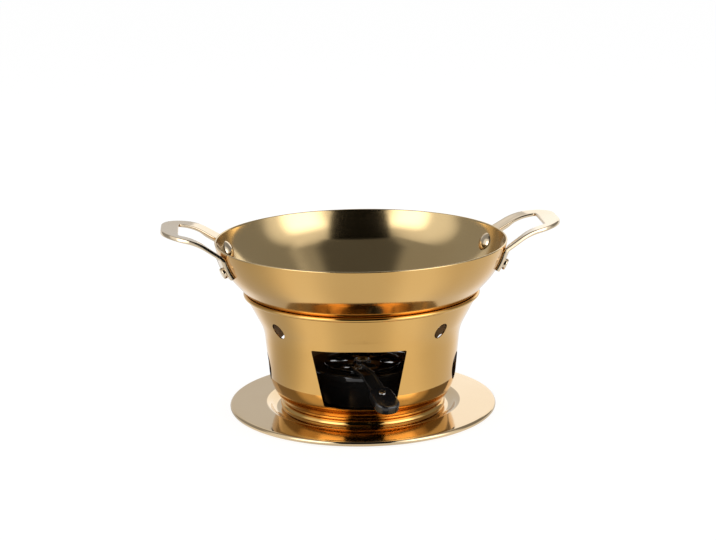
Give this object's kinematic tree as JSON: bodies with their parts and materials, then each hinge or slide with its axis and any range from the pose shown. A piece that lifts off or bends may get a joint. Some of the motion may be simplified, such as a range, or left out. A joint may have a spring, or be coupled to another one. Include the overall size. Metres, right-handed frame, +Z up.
{
  "type": "chafing dish",
  "caption": "Gold-coloured metal chafing dish: wok-shaped pan with riveted loop handles on a flared, vented burner stand with a door, a damper lever and a round drip tray.",
  "frame": {"origin": "middle of the tray's underside, on the table", "axes": "+Z up, the stand's door faces -Y, the handles lie along X, turned 7 degrees with the pan"},
  "size_m": [0.3258, 0.24, 0.1586],
  "materials": {
    "gold_polished": "polished, gold-coloured stainless steel",
    "gold_satin": "fine satin, gold-coloured stainless steel",
    "pale_gold": "polished, pale gold-coloured stainless steel",
    "black_enamel": "glossy black enamel on steel sheet",
    "black_moulding": "black heat-proof moulding",
    "steel": "bright steel",
    "wick_wool": "off-white wick wadding"
  },
  "bodies": {
    "tray": {"tray": "gold_polished"},
    "stand": {"stand_foot_ring": "gold_polished", "stand_shell": "gold_polished"},
    "pan": {"pan_bowl": "gold_satin", "right_handle": "pale_gold", "left_handle": "pale_gold", "right_front_rivet": "pale_gold", "right_rear_rivet": "pale_gold", "left_front_rivet": "pale_gold", "left_rear_rivet": "pale_gold"},
    "burner": {"burner_cup": "black_enamel", "wick_pad": "wick_wool", "wick_gauze": "steel", "burner_cover": "black_enamel", "damper_washer": "steel", "damper_pivot": "steel"},
    "damper": {"damper_plate": "black_enamel", "damper_lever": "black_enamel", "lever_rivets": "steel", "lever_grip": "black_moulding", "grip_pin": "steel"}
  },
  "joints": [
    {"name": "stand_lift", "type": "slide", "parent": "tray", "child": "stand", "axis": [0, 0, 1], "range_m": [0, 0.06]},
    {"name": "pan_lift", "type": "slide", "parent": "stand", "child": "pan", "axis": [0, 0, 1], "range_m": [0, 0.1]},
    {"name": "burner_lift", "type": "slide", "parent": "stand", "child": "burner", "axis": [0, 0, 1], "range_m": [0, 0.02]},
    {"name": "damper_turn", "type": "hinge", "parent": "burner", "child": "damper", "pos_m": [0, 0, 0.039], "axis": [0, 0, 1], "range_deg": [-28, 0]}
  ]
}
